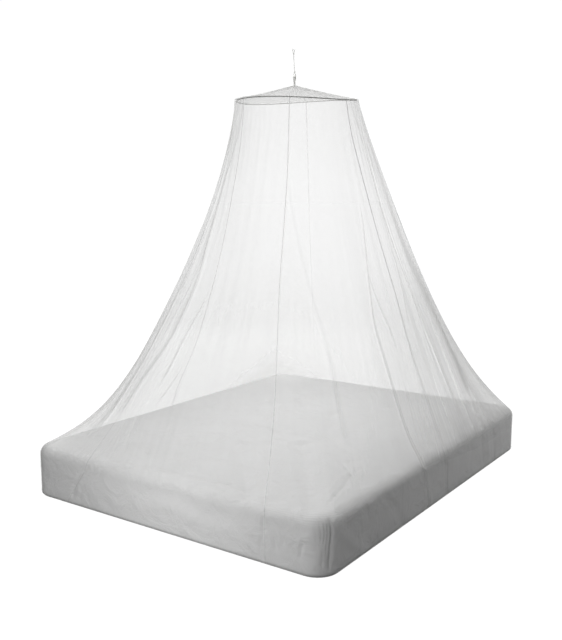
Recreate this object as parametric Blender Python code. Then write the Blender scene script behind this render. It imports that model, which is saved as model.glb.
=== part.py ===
"""Bell mosquito net hung over a mattress: six wall panels, six roof gores, hoop, loop, cord and mattress.

The net is sewn from six gores. Each gore has a roof piece, from the apex to the hoop, and a wall panel,
from the hoop down over the edge of the mattress and under it. Azimuths are degrees about +Z from +X.
The foot end of the mattress faces -Y. All lengths are metres.
"""

import math
from collections import namedtuple

import bmesh
import bpy
from mathutils import Vector

# Mattress
MATTRESS_WIDTH = 1.60
MATTRESS_LENGTH = 2.00
MATTRESS_TOP = 0.238
MATTRESS_CORNER_RADIUS = 0.095
MATTRESS_EDGE_RADIUS = 0.045
MATTRESS_UNDER_RADIUS = 0.035
CORNER_SEGMENTS = 6
EDGE_SEGMENTS = 4

# Net cloth
NET_THICKNESS = 0.0015
PIECE_GAP = 0.0003
DRAPE_CLEARANCE = 0.003
TUCK_TURN_RADIUS = 0.022
TUCK_DEPTH = 0.13
LEAST_CORNER_RADIUS = 0.010

# Hoop: a springy ring that leans and warps a little
HOOP_RADIUS = 0.288
HOOP_WIRE_RADIUS = 0.004
HOOP_HEIGHT = 1.831
HOOP_LEAN = 0.021
HOOP_LEAN_AZIMUTH = 115.5
HOOP_WARP = 0.0078
HOOP_WARP_AZIMUTH = 87.0
HOOP_SEGMENTS = 60
HOOP_SIDES = 8
HOOP_CLEARANCE = 0.0034

# Roof
APEX_HEIGHT = 1.899
APEX_HOLE_RADIUS = 0.0048
APEX_SHIFT = (-0.007, -0.005, 0.0)
ROOF_SAG_POWER = 1.25
GORE_ROWS = 4

# Wall: the share of its spread that the cloth has at each share of its drop is a power of that share.
# The cloth hangs slackest on one side, so both powers are highest at that azimuth.
SOFT_CORNER_RADIUS = 0.66
SPREAD_POWER = 1.27
SPREAD_POWER_SLACK = 0.23
SPREAD_POWER_LENGTHWISE = 0.16
CORNER_POWER = 9.5
CORNER_POWER_SLACK = 4.5
SLACK_AZIMUTH = 205.0
ROW_CROWDING = 1.3
WALL_ROWS = 15
EDGE_ROWS = 3
SIDE_ROWS = 2
TURN_ROWS = 3
TUCK_ROWS = 1

# Hanging loop: a folded strap whose two tails pass down through the apex
LOOP_HEIGHT = 0.047
LOOP_TAIL = 0.014
LOOP_CLOSED_HEIGHT = 0.006
LOOP_HALF_WIDTH = 0.0065
LOOP_AZIMUTH = 0.0
LOOP_ARC_STEPS = 10
STRAP_WIDTH = 0.008
STRAP_THICKNESS = 0.0015

# Hanging cord: a bight through the loop, a knot, the standing part, a knot and a bight for the ceiling hook
CORD_RADIUS = 0.0015
CORD_TOP = 2.070
CORD_LEAN = 0.006
CORD_SIDES_RESOLUTION = 2
CORD_STEP = 0.008
BIGHT_STEP = 0.0012
BIGHT_HEIGHT = 0.017
BIGHT_HALF_WIDTH = 0.0062
KNOT_RADIUS = 0.0046
KNOT_HEIGHT = 0.0075
KNOT_BEVEL = 0.0010
KNOT_SIDES = 16

# One side of a bight, from its knot to its end, as shares of its half width and of its height
BIGHT_SHAPE = ((0.31, 1.0), (0.31, 0.88), (0.72, 0.55), (1.0, 0.22), (0.85, 0.05), (0.45, 0.0), (0.0, 0.0))

# The six seams, by their azimuths from the hoop to the floor
MIDWAY = 0.6
Seam = namedtuple("Seam", "at_hoop midway at_edge at_floor")
SEAMS = (
    Seam(at_hoop=-112.0, midway=-103.5, at_edge=-114.5, at_floor=-115.0),
    Seam(at_hoop=-62.0, midway=-62.7, at_edge=-62.0, at_floor=-61.5),
    Seam(at_hoop=-4.0, midway=1.2, at_edge=2.0, at_floor=3.0),
    Seam(at_hoop=60.0, midway=67.0, at_edge=68.0, at_floor=68.0),
    Seam(at_hoop=115.0, midway=116.0, at_edge=117.0, at_floor=117.0),
    Seam(at_hoop=180.0, midway=184.0, at_edge=184.5, at_floor=184.0),
)

# The main folds: each is a ridge along a line like a seam's, from one share of the drop to another
Fold = namedtuple("Fold", "panel line half_width height start end")
FOLDS = (
    Fold(2, Seam(-57.5, -49.5, -43.0, -43.0), half_width=3.0, height=0.012, start=0.30, end=0.95),
    Fold(2, Seam(-9.0, -20.5, -14.0, -9.0), half_width=2.2, height=0.012, start=0.35, end=1.00),
    Fold(6, Seam(196.0, 199.0, 194.0, 194.0), half_width=2.5, height=0.008, start=0.60, end=1.00),
)
FOLD_FADE = 0.15
SIDE_PANEL_COLUMNS = 7
CORNER_PANEL_COLUMNS = 11
TURN_WEIGHT = 0.5
OUTLINE_STEPS = 180
LEAST_COLUMN_SHARE = 0.025
NORMAL_STEP = 0.002
NET_PARTS = ("wall", "edge", "side", "turn", "tuck")
EDGE_STATION = ("edge", 0.0)


def outline_radius(azimuth, inset, corner_radius=MATTRESS_CORNER_RADIUS):
    """Distance from the centre to the mattress outline, moved in by inset, at an azimuth in radians."""
    half_width = MATTRESS_WIDTH / 2 - inset
    half_length = MATTRESS_LENGTH / 2 - inset
    radius = max(corner_radius - inset, LEAST_CORNER_RADIUS)
    across = abs(math.cos(azimuth))
    along = abs(math.sin(azimuth))
    straight_width = half_width - radius
    straight_length = half_length - radius
    if half_width * along <= straight_length * across:
        return half_width / across
    if half_length * across <= straight_width * along:
        return half_length / along
    middle = across * straight_width + along * straight_length
    return middle + math.sqrt(middle**2 - straight_width**2 - straight_length**2 + radius**2)


def hoop_height(azimuth):
    """Height of the hoop's centre line at an azimuth in radians."""
    lean = HOOP_LEAN * math.cos(azimuth - math.radians(HOOP_LEAN_AZIMUTH))
    warp = HOOP_WARP * math.cos(2 * (azimuth - math.radians(HOOP_WARP_AZIMUTH)))
    return HOOP_HEIGHT + lean + warp


def wall_top_radius():
    """Radius of the wall's inner face at the hoop. Between columns its facets come closer to the wire."""
    return HOOP_RADIUS + HOOP_WIRE_RADIUS + HOOP_CLEARANCE


def edge_point(azimuth, angle):
    """Radius and height on the cloth's inner face round the top edge. The angle is 0 on top, 90 beside."""
    radius = MATTRESS_EDGE_RADIUS + DRAPE_CLEARANCE
    inset = radius * (1 - math.sin(angle)) - DRAPE_CLEARANCE
    return outline_radius(azimuth, inset), MATTRESS_TOP + DRAPE_CLEARANCE - radius * (1 - math.cos(angle))


def spread_powers(azimuth):
    """Powers of the drop share for the wall's spread to the softened outline, and on to the true one."""
    slack = math.cos(azimuth - math.radians(SLACK_AZIMUTH))
    spread = SPREAD_POWER + SPREAD_POWER_SLACK * slack + SPREAD_POWER_LENGTHWISE * math.cos(2 * azimuth)
    return spread, CORNER_POWER + CORNER_POWER_SLACK * slack


def contact_angle(azimuth):
    """Where round the top edge the hanging wall meets it: where the edge has the wall's own slope."""
    spread_power, corner_power = spread_powers(azimuth)
    soft_radius = outline_radius(azimuth, 0, SOFT_CORNER_RADIUS)
    outer_radius = outline_radius(azimuth, 0)
    spread_rate = (soft_radius - wall_top_radius()) * spread_power
    spread_rate += (outer_radius - soft_radius) * corner_power
    drop = hoop_height(azimuth) - MATTRESS_TOP
    squareness = PIECE_GAP / (outer_radius - outline_radius(azimuth, PIECE_GAP))
    return math.atan2(drop, spread_rate * squareness)


def wall_point(azimuth, share):
    """Radius and height of the wall's inner face at a share of its drop."""
    top_radius = wall_top_radius()
    top = hoop_height(azimuth) + HOOP_WIRE_RADIUS
    soft_radius = outline_radius(azimuth, 0, SOFT_CORNER_RADIUS)
    end_radius, end_height = edge_point(azimuth, contact_angle(azimuth))
    spread_power, corner_power = spread_powers(azimuth)
    radius = top_radius + (soft_radius - top_radius) * share**spread_power
    radius += (end_radius - soft_radius) * share**corner_power + fold_height(azimuth, share)
    return radius, top + (end_height - top) * share


def panel_rows():
    """The stations down a panel, as (part of the path, share along that part)."""
    rows = [("wall", 1 - (1 - row / WALL_ROWS) ** ROW_CROWDING) for row in range(WALL_ROWS)]
    rows += [("edge", row / EDGE_ROWS) for row in range(EDGE_ROWS)]
    rows += [("side", row / SIDE_ROWS) for row in range(SIDE_ROWS)]
    rows += [("turn", row / TURN_ROWS) for row in range(TURN_ROWS)]
    rows += [("tuck", row / TUCK_ROWS) for row in range(TUCK_ROWS + 1)]
    return rows


PANEL_STATIONS = panel_rows()


def net_point(azimuth, part, share):
    """Radius and height of the net's inner face, the one toward the mattress."""
    if part == "wall":
        return wall_point(azimuth, share)
    if part == "edge":
        contact = contact_angle(azimuth)
        return edge_point(azimuth, contact + (math.pi / 2 - contact) * share)
    if part == "side":
        radius, top = edge_point(azimuth, math.pi / 2)
        bottom = NET_THICKNESS + TUCK_TURN_RADIUS
        return radius, top + (bottom - top) * share
    if part == "turn":
        angle = math.pi / 2 * share
        inset = TUCK_TURN_RADIUS * (1 - math.cos(angle)) - DRAPE_CLEARANCE
        height = NET_THICKNESS + TUCK_TURN_RADIUS * (1 - math.sin(angle))
        return outline_radius(azimuth, inset), height
    inset = TUCK_TURN_RADIUS - DRAPE_CLEARANCE
    inset += (TUCK_DEPTH - inset) * share
    return outline_radius(azimuth, inset), NET_THICKNESS


def polar(azimuth, radius, height):
    return Vector((radius * math.cos(azimuth), radius * math.sin(azimuth), height))


def line_azimuth(line, part, share):
    """Azimuth in radians, at a station, of a seam or of another line down the net."""
    if part != "wall":
        down = (NET_PARTS.index(part) - 1 + share) / (len(NET_PARTS) - 1)
        return math.radians(line.at_edge + (line.at_floor - line.at_edge) * down)
    whole = line.at_edge - line.at_hoop
    bend = ((line.midway - line.at_hoop) / MIDWAY - whole) / (1 - MIDWAY)
    return math.radians(line.at_hoop + whole * share + bend * share * (1 - share))


def fade(value):
    """A smooth step from 0 at 0 to 1 at 1."""
    value = min(max(value, 0.0), 1.0)
    return value * value * (3 - 2 * value)


def fold_height(azimuth, share):
    """How far the folds stand out of the wall."""
    height = 0.0
    for fold in FOLDS:
        aside = abs(azimuth - line_azimuth(fold.line, "wall", share)) % math.tau
        across = min(aside, math.tau - aside) / math.radians(fold.half_width)
        along = fade((share - fold.start) / FOLD_FADE) * fade((fold.end - share) / FOLD_FADE)
        height += fold.height * along * fade(1 - across)
    return height


def net_surface(azimuth, row):
    """Point of the net's inner face at a row of the panel."""
    part, share = PANEL_STATIONS[row]
    return polar(azimuth, *net_point(azimuth, part, share))


def net_normal(azimuth, row):
    """Outward normal of the net at a row. Along the top edge it is level."""
    before = max(row - 1, 0)
    after = min(row + 1, len(PANEL_STATIONS) - 1)
    down = net_surface(azimuth, after) - net_surface(azimuth, before)
    around = net_surface(azimuth + NORMAL_STEP, row) - net_surface(azimuth - NORMAL_STEP, row)
    normal = down.cross(around)
    if row == 0:
        normal.z = 0.0
    return normal.normalized()


def outline_run(azimuth, ahead):
    """Distance along the mattress outline from one azimuth to the next, longer where the outline turns."""
    points = [polar(angle, outline_radius(angle, 0), 0) for angle in (azimuth, ahead, 2 * ahead - azimuth)]
    first = points[1] - points[0]
    second = points[2] - points[1]
    return first.length + TURN_WEIGHT * first.angle(second)


def column_shares(start, end, columns):
    """Shares of the way between two seams, at even runs along the outline, so crowded at the corners."""
    fine = (end - start) / OUTLINE_STEPS
    runs = [0.0]
    for step in range(OUTLINE_STEPS):
        runs.append(runs[-1] + outline_run(start + fine * step, start + fine * (step + 1)))
    shares = []
    for column in range(columns + 1):
        wanted = runs[-1] * column / columns
        step = sum(run < wanted for run in runs[1:-1])
        shares.append((step + (wanted - runs[step]) / (runs[step + 1] - runs[step])) / OUTLINE_STEPS)
    return shares


def gapped(start, end, share, radius):
    """Azimuth at a share of the way between two seams, half a piece gap short of each."""
    half_gap = PIECE_GAP / 2 / radius
    return start + half_gap + (end - start - 2 * half_gap) * share


def material(name, colour, roughness, metallic=0.0):
    made = bpy.data.materials.new(name)
    made.use_nodes = True
    shader = made.node_tree.nodes["Principled BSDF"]
    shader.inputs["Base Color"].default_value = (*colour, 1.0)
    shader.inputs["Roughness"].default_value = roughness
    shader.inputs["Metallic"].default_value = metallic
    return made


def add_object(name, mesh, look):
    mesh.materials.append(look)
    made = bpy.data.objects.new(name, mesh)
    bpy.context.scene.collection.objects.link(made)
    return made


def mesh_from(name, bm, smooth_angle):
    bmesh.ops.recalc_face_normals(bm, faces=bm.faces[:])
    mesh = bpy.data.meshes.new(name)
    bm.to_mesh(mesh)
    bm.free()
    mesh.shade_smooth()
    mesh.set_sharp_from_angle(angle=math.radians(smooth_angle))
    return mesh


def cloth_slab(name, columns, rows, place, look):
    """A sheet of cloth: a flat grid, extruded to two faces, with each corner moved to its place.

    place takes the column, the row and the face, which is 0 for the inner face and 1 for the outer one.
    """
    bm = bmesh.new()
    bmesh.ops.create_grid(bm, x_segments=columns, y_segments=rows, size=0.5)
    raised = bmesh.ops.extrude_face_region(bm, geom=bm.faces[:])
    for item in raised["geom"]:
        if isinstance(item, bmesh.types.BMVert):
            item.co.z = 1.0
    for vert in bm.verts:
        vert.co = place(round((vert.co.x + 0.5) * columns), round((0.5 - vert.co.y) * rows), vert.co.z)
    return add_object(name, mesh_from(name, bm, 50), look)


def panel_ends(panel, station):
    """Azimuths of a panel's two seams at a station."""
    following = (panel + 1) % len(SEAMS)
    whole_turn = math.tau if following < panel else 0.0
    return line_azimuth(SEAMS[panel], *station), line_azimuth(SEAMS[following], *station) + whole_turn


def panel_folds(panel, station):
    """Shares of the way across a panel where each of its folds starts, peaks and ends at a station."""
    start, end = panel_ends(panel, station)
    shares = []
    for fold in FOLDS:
        if fold.panel == panel + 1:
            ridge = line_azimuth(fold.line, *station)
            lines = [ridge + math.radians(side * fold.half_width) for side in (-1, 0, 1)]
            shares += [(line - start) / (end - start) for line in lines]
    return sorted(shares)


def panel_columns(panel):
    """Shares of the way across a panel, at the mattress edge, of its columns, with three for each fold."""
    ends = panel_ends(panel, EDGE_STATION)
    columns = CORNER_PANEL_COLUMNS if has_corner(*ends) else SIDE_PANEL_COLUMNS
    folds = panel_folds(panel, EDGE_STATION)
    plain = column_shares(*ends, columns)
    inner = [share for share in plain[1:-1] if all(abs(share - fold) > LEAST_COLUMN_SHARE for fold in folds)]
    return [0.0] + sorted(inner + folds) + [1.0]


def share_at(panel, edge_share, station):
    """Share at a station of the column with a share at the mattress edge, so that it keeps to its fold."""
    from_shares = [0.0] + panel_folds(panel, EDGE_STATION) + [1.0]
    to_shares = [0.0] + panel_folds(panel, station) + [1.0]
    for low, high, to_low, to_high in zip(from_shares, from_shares[1:], to_shares, to_shares[1:]):
        if edge_share <= high:
            return to_low + (to_high - to_low) * (edge_share - low) / (high - low)
    return 1.0


def add_panel(panel, look):
    """A wall panel, from seam to seam and from the hoop to the tucked edge."""
    columns = panel_columns(panel)

    def place(column, row, face):
        station = PANEL_STATIONS[row]
        start, end = panel_ends(panel, station)
        share = share_at(panel, columns[column], station)
        azimuth = gapped(start, end, share, net_point(start, *station)[0])
        return net_surface(azimuth, row) + net_normal(azimuth, row) * NET_THICKNESS * face

    cloth_slab(f"net_panel_{panel + 1}", len(columns) - 1, len(PANEL_STATIONS) - 1, place, look)


def has_corner(start, end):
    """Whether a corner of the mattress lies between two azimuths."""
    corner = math.atan2(MATTRESS_LENGTH, MATTRESS_WIDTH)
    return any(start < azimuth < end for azimuth in (-corner, corner, math.pi - corner, math.pi + corner))


def roof_surface(azimuth, share):
    """Point of the roof's lower face, from the apex hole at share 0 to the rim over the hoop at 1."""
    rim_radius = wall_top_radius() + NET_THICKNESS
    rim_height = hoop_height(azimuth) + HOOP_WIRE_RADIUS + PIECE_GAP
    radius = APEX_HOLE_RADIUS + (rim_radius - APEX_HOLE_RADIUS) * share
    height = rim_height + (APEX_HEIGHT - rim_height) * (1 - share) ** ROOF_SAG_POWER
    return polar(azimuth, radius, height) + Vector(APEX_SHIFT) * (1 - share)


def roof_normal(azimuth, share):
    inner = roof_surface(azimuth, max(share - NORMAL_STEP, 0))
    outer = roof_surface(azimuth, min(share + NORMAL_STEP, 1))
    around = roof_surface(azimuth + NORMAL_STEP, share) - roof_surface(azimuth - NORMAL_STEP, share)
    return (outer - inner).cross(around).normalized()


def add_gore(gore, look):
    """A roof gore, from seam to seam and from the apex to the hoop, in step with the wall panel below it."""
    columns = panel_columns(gore)
    hoop_station = PANEL_STATIONS[0]
    start, end = panel_ends(gore, hoop_station)

    def place(column, row, face):
        out = row / GORE_ROWS
        radius = APEX_HOLE_RADIUS + (wall_top_radius() - APEX_HOLE_RADIUS) * out
        azimuth = gapped(start, end, share_at(gore, columns[column], hoop_station), radius)
        return roof_surface(azimuth, out) + roof_normal(azimuth, out) * NET_THICKNESS * face

    cloth_slab(f"roof_gore_{gore + 1}", len(columns) - 1, GORE_ROWS, place, look)


def add_hoop(look):
    """The hoop: a turned ring, lifted to its leaning, warped centre line."""
    bm = bmesh.new()
    section = bmesh.ops.create_circle(bm, cap_ends=False, segments=HOOP_SIDES, radius=HOOP_WIRE_RADIUS)
    stand = Vector((HOOP_RADIUS, 0, 0))
    for vert in section["verts"]:
        vert.co = stand + Vector((vert.co.x, 0, vert.co.y))
    bmesh.ops.spin(
        bm,
        geom=bm.verts[:] + bm.edges[:],
        cent=(0, 0, 0),
        axis=(0, 0, 1),
        angle=math.tau,
        steps=HOOP_SEGMENTS,
        use_merge=True,
    )
    for vert in bm.verts:
        vert.co.z += hoop_height(math.atan2(vert.co.y, vert.co.x))
    add_object("hoop", mesh_from("hoop", bm, 60), look)


def add_mattress(look):
    """The mattress: a block with rounded corners, a full top edge and a tighter lower edge."""
    bottom = NET_THICKNESS + PIECE_GAP
    bm = bmesh.new()
    bmesh.ops.create_cube(bm, size=1.0)
    bmesh.ops.scale(bm, vec=(MATTRESS_WIDTH, MATTRESS_LENGTH, MATTRESS_TOP - bottom), verts=bm.verts[:])
    bmesh.ops.translate(bm, vec=(0, 0, (MATTRESS_TOP + bottom) / 2), verts=bm.verts[:])
    uprights = [edge for edge in bm.edges if abs(edge.verts[0].co.z - edge.verts[1].co.z) > PIECE_GAP]
    bevel(bm, uprights, MATTRESS_CORNER_RADIUS, CORNER_SEGMENTS)
    bevel(bm, level_edges(bm, MATTRESS_TOP), MATTRESS_EDGE_RADIUS, EDGE_SEGMENTS)
    bevel(bm, level_edges(bm, bottom), MATTRESS_UNDER_RADIUS, EDGE_SEGMENTS)
    add_object("mattress", mesh_from("mattress", bm, 40), look)


def level_edges(bm, height):
    """The edges that lie wholly at a height."""
    return [edge for edge in bm.edges if all(abs(v.co.z - height) < PIECE_GAP / 10 for v in edge.verts)]


def bevel(bm, edges, radius, segments):
    bmesh.ops.bevel(bm, geom=edges, offset=radius, segments=segments, profile=0.5, affect="EDGES")


def loop_frame():
    """Foot of the hanging loop at the apex, and the level direction along its strap's width."""
    azimuth = math.radians(LOOP_AZIMUTH)
    foot = Vector((APEX_SHIFT[0], APEX_SHIFT[1], APEX_HEIGHT))
    return foot, Vector((math.cos(azimuth), math.sin(azimuth), 0.0))


def loop_side():
    """One side of the loop's centre line, from its tail up to the crown, as (distance out, height)."""
    leg = (STRAP_THICKNESS + PIECE_GAP) / 2
    crown = LOOP_HEIGHT - STRAP_THICKNESS / 2 - LOOP_HALF_WIDTH
    side = [(leg, -LOOP_TAIL), (leg, 0.0), (leg, LOOP_CLOSED_HEIGHT)]
    for step in range(LOOP_ARC_STEPS + 1):
        angle = math.pi / 2 * step / LOOP_ARC_STEPS
        side.append((LOOP_HALF_WIDTH * math.cos(angle), crown + LOOP_HALF_WIDTH * math.sin(angle)))
    return side


def add_loop(look):
    """The hanging loop: a strap bent into a long eye, with its two tails side by side."""
    foot, wide = loop_frame()
    up = Vector((0, 0, 1))
    out = up.cross(wide)
    side = loop_side()
    path = [foot + out * across + up * height for across, height in side]
    path += [foot - out * across + up * height for across, height in reversed(side[:-1])]

    def place(column, row, face):
        ahead = path[min(row + 1, len(path) - 1)] - path[max(row - 1, 0)]
        away = ahead.cross(wide).normalized()
        return path[row] + wide * STRAP_WIDTH * (column - 0.5) + away * STRAP_THICKNESS * (face - 0.5)

    cloth_slab("hanging_loop", 1, len(path) - 1, place, look)


def smooth_path(points, step):
    """Points about a step apart on a smooth curve through the given points."""
    points = [Vector(point) for point in points]
    ends = [2 * points[0] - points[1]] + points + [2 * points[-1] - points[-2]]
    path = []
    for before, start, end, after in zip(ends, ends[1:], ends[2:], ends[3:]):
        count = max(1, round((end - start).length / step))
        for index in range(count):
            t = index / count
            bend = 2 * before - 5 * start + 4 * end - after
            swing = 3 * start - before - 3 * end + after
            path.append((2 * start + (end - before) * t + bend * t**2 + swing * t**3) / 2)
    return path + [points[-1]]


def add_tube(name, path, look):
    curve = bpy.data.curves.new(name, "CURVE")
    curve.dimensions = "3D"
    curve.bevel_depth = CORD_RADIUS
    curve.bevel_resolution = CORD_SIDES_RESOLUTION
    curve.use_fill_caps = True
    spline = curve.splines.new("POLY")
    spline.points.add(len(path) - 1)
    for point, place in zip(spline.points, path):
        point.co = (*place, 1.0)
    add_object(name, curve, look)


def add_knot(name, centre, look):
    """A knot, as a short barrel with flat ends for the cord to meet."""
    bm = bmesh.new()
    bmesh.ops.create_cone(
        bm, cap_ends=True, segments=KNOT_SIDES, radius1=KNOT_RADIUS, radius2=KNOT_RADIUS, depth=KNOT_HEIGHT
    )
    rims = [edge for edge in bm.edges if abs(edge.verts[0].co.z - edge.verts[1].co.z) < PIECE_GAP]
    bevel(bm, rims, KNOT_BEVEL, 2)
    bmesh.ops.translate(bm, vec=centre, verts=bm.verts[:])
    add_object(name, mesh_from(name, bm, 40), look)


def add_cord(look):
    """The hanging cord, from its bight through the loop to its bight for the ceiling hook."""
    foot, wide = loop_frame()
    up = Vector((0, 0, 1))
    lowest = foot + up * (LOOP_HEIGHT - STRAP_THICKNESS - PIECE_GAP - CORD_RADIUS)
    lower_knot = lowest + up * (BIGHT_HEIGHT + PIECE_GAP + KNOT_HEIGHT / 2)
    highest = foot - wide * CORD_LEAN
    highest.z = CORD_TOP - CORD_RADIUS
    upper_knot = highest - up * (BIGHT_HEIGHT + PIECE_GAP + KNOT_HEIGHT / 2)
    side = [(BIGHT_HALF_WIDTH * across, BIGHT_HEIGHT * height) for across, height in BIGHT_SHAPE]
    whole = side + [(-across, height) for across, height in reversed(side[:-1])]
    loop_bight = [lowest + wide * across + up * height for across, height in whole]
    hook_bight = [highest + wide * across - up * height for across, height in whole]
    add_tube("cord_loop_bight", smooth_path(loop_bight, BIGHT_STEP), look)
    add_tube("cord_hook_bight", smooth_path(hook_bight, BIGHT_STEP), look)
    add_knot("cord_loop_knot", lower_knot, look)
    add_knot("cord_hook_knot", upper_knot, look)
    start = lower_knot + up * (KNOT_HEIGHT / 2 + PIECE_GAP)
    end = upper_knot - up * (KNOT_HEIGHT / 2 + PIECE_GAP)
    add_tube("hanging_cord", smooth_path([start, (start + end) / 2, end], CORD_STEP), look)


def main():
    for leftover in list(bpy.data.objects):
        bpy.data.objects.remove(leftover)
    net = material("sheer_net", (0.93, 0.93, 0.93), 0.85)
    for number in range(len(SEAMS)):
        add_panel(number, net)
        add_gore(number, net)
    add_hoop(material("hoop_wire", (0.72, 0.72, 0.72), 0.4))
    add_loop(material("strap", (0.75, 0.75, 0.74), 0.8))
    add_cord(material("cord", (0.80, 0.80, 0.79), 0.8))
    add_mattress(material("mattress_cloth", (0.85, 0.85, 0.85), 0.9))


main()
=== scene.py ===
"""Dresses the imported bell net, hoop, cord and mattress with sheer cloth, seams and finishes.

It is laid out as an add-on: settings, one operator for each kind of piece and a sidebar panel. Lengths are
metres and azimuths are degrees about +Z from +X, with the foot end of the mattress facing -Y.
"""

import math
from collections import namedtuple

import bmesh
import bpy
import numpy as np
from bpy.props import FloatProperty, IntProperty, PointerProperty, StringProperty
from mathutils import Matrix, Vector


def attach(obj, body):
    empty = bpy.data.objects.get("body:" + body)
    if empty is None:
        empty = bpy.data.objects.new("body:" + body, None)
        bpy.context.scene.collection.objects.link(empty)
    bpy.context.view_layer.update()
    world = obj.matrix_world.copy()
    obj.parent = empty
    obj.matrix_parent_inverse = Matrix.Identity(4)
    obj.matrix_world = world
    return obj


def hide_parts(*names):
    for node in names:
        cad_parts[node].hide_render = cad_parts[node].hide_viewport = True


bl_info = {
    "name": "Bell Bed Net",
    "version": (1, 0, 0),
    "blender": (4, 5, 0),
    "location": "View3D > Sidebar > Bed Net",
    "description": "Sews a sheer bell net over its hoop and mattress and lights it on a pale floor",
    "category": "Add Mesh",
}

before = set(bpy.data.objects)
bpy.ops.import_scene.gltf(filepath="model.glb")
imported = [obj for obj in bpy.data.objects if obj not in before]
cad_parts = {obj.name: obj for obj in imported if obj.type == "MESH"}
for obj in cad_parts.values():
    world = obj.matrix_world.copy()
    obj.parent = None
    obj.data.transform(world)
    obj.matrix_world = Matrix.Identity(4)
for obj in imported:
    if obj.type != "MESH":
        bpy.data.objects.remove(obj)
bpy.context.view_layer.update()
BODY = "root"

# Mattress, as in the solids, but with a tighter lower edge, so that no light shows inside the turned net
MATTRESS_WIDTH = 1.60
MATTRESS_LENGTH = 2.00
MATTRESS_TOP = 0.238
MATTRESS_BOTTOM = 0.0018
MATTRESS_CORNER_RADIUS = 0.095
MATTRESS_EDGE_RADIUS = 0.045
MATTRESS_UNDER_RADIUS = 0.020

# Grid of the mattress: cuts through its height, and how much its rows crowd towards the ends of x, y and z
MATTRESS_CUTS_HIGH = 22
MATTRESS_CROWDING = (0.6, 0.6, 0.3)

# Net, as in the solids, with the sheet in the middle of their thickness
DRAPE_CLEARANCE = 0.00375
SHEET_HEIGHT_UNDER = 0.00075
TUCK_TURN_RADIUS = 0.022
TUCK_DEPTH = 0.13
LEAST_CORNER_RADIUS = 0.010
HOOP_RADIUS = 0.288
HOOP_HEIGHT = 1.831
HOOP_LEAN = 0.021
HOOP_LEAN_AZIMUTH = 115.5
HOOP_WARP = 0.0078
HOOP_WARP_AZIMUTH = 87.0
WALL_TOP_RADIUS = 0.29615
WALL_TOP_RISE = 0.004
ROOF_LAP_OUT = 0.0007
ROOF_LAP_RISE = 0.0052
APEX_HEIGHT = 1.8998
APEX_HOLE_RADIUS = 0.0042
APEX_SHIFT = (-0.007, -0.005)
ROOF_SAG_POWER = 1.25
SOFT_CORNER_RADIUS = 0.66
SPREAD_POWER = 1.27
SPREAD_POWER_SLACK = 0.23
SPREAD_POWER_LENGTHWISE = 0.16
CORNER_POWER = 9.5
CORNER_POWER_SLACK = 4.5
SLACK_AZIMUTH = 205.0

# Knots of the hanging cord, as in the solids
LOOP_KNOT = (-0.007, -0.005, 1.96375)
HOOK_KNOT = (-0.013, -0.005, 2.04745)

# Both knots, drawn tight: half their width, depth and height against it, and how thin the cord is pulled
KNOT_RADIUS = 0.0031
KNOT_DEPTH = 0.62
KNOT_HEIGHT = 1.15
KNOT_THINNING = 0.95
KNOT_STEPS = 96
CORD_STEPS = 24

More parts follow.
